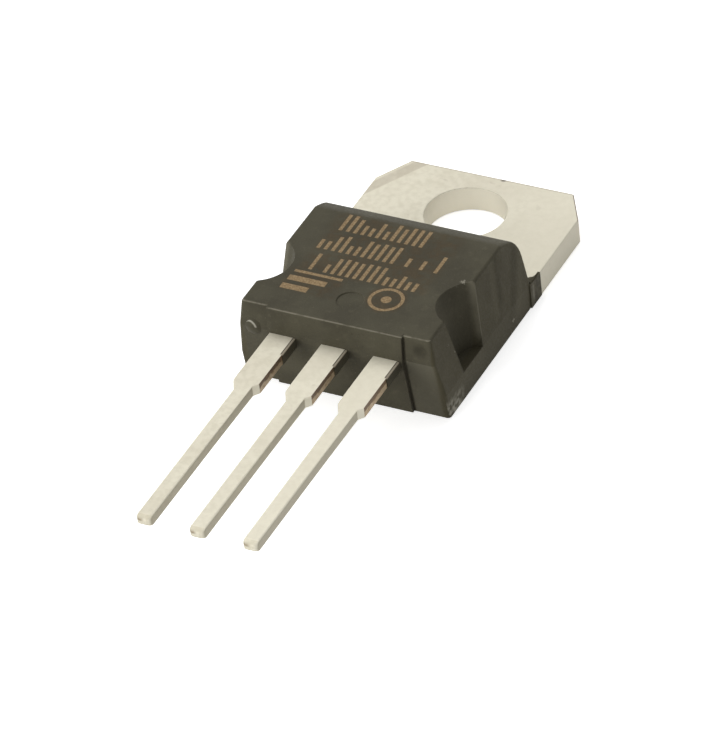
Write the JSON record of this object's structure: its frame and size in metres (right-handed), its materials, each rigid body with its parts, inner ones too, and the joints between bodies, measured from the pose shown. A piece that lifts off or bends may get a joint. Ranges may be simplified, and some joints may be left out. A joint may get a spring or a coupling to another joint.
{
  "type": "voltage regulator",
  "caption": "Voltage regulator in a moulded power package: black resin body with side notches on a metal heat tab with a mounting hole, and flat tinned leads in a row.",
  "frame": {"origin": "on the axis of the mounting hole, in the plane of the metal back face", "axes": "+X along the row of leads, +Y to the free end of the tab, +Z out of the marked face"},
  "size_m": [0.0102, 0.0294, 0.0044],
  "materials": {
    "moulded_resin": "matte",
    "tinned_tab": "satin",
    "tinned_leads": "satin",
    "chip_silicon": "polished",
    "soft_solder": "satin",
    "wire_aluminium": "satin"
  },
  "bodies": {
    "root": {"moulded_body": "moulded_resin", "tab_and_centre_lead": "tinned_tab", "left_lead": "tinned_leads", "right_lead": "tinned_leads", "die": "chip_silicon", "die_solder": "soft_solder", "adjust_wire": "wire_aluminium", "input_wire_a": "wire_aluminium", "input_wire_b": "wire_aluminium", "output_wire_a": "wire_aluminium", "output_wire_b": "wire_aluminium"}
  },
  "joints": []
}
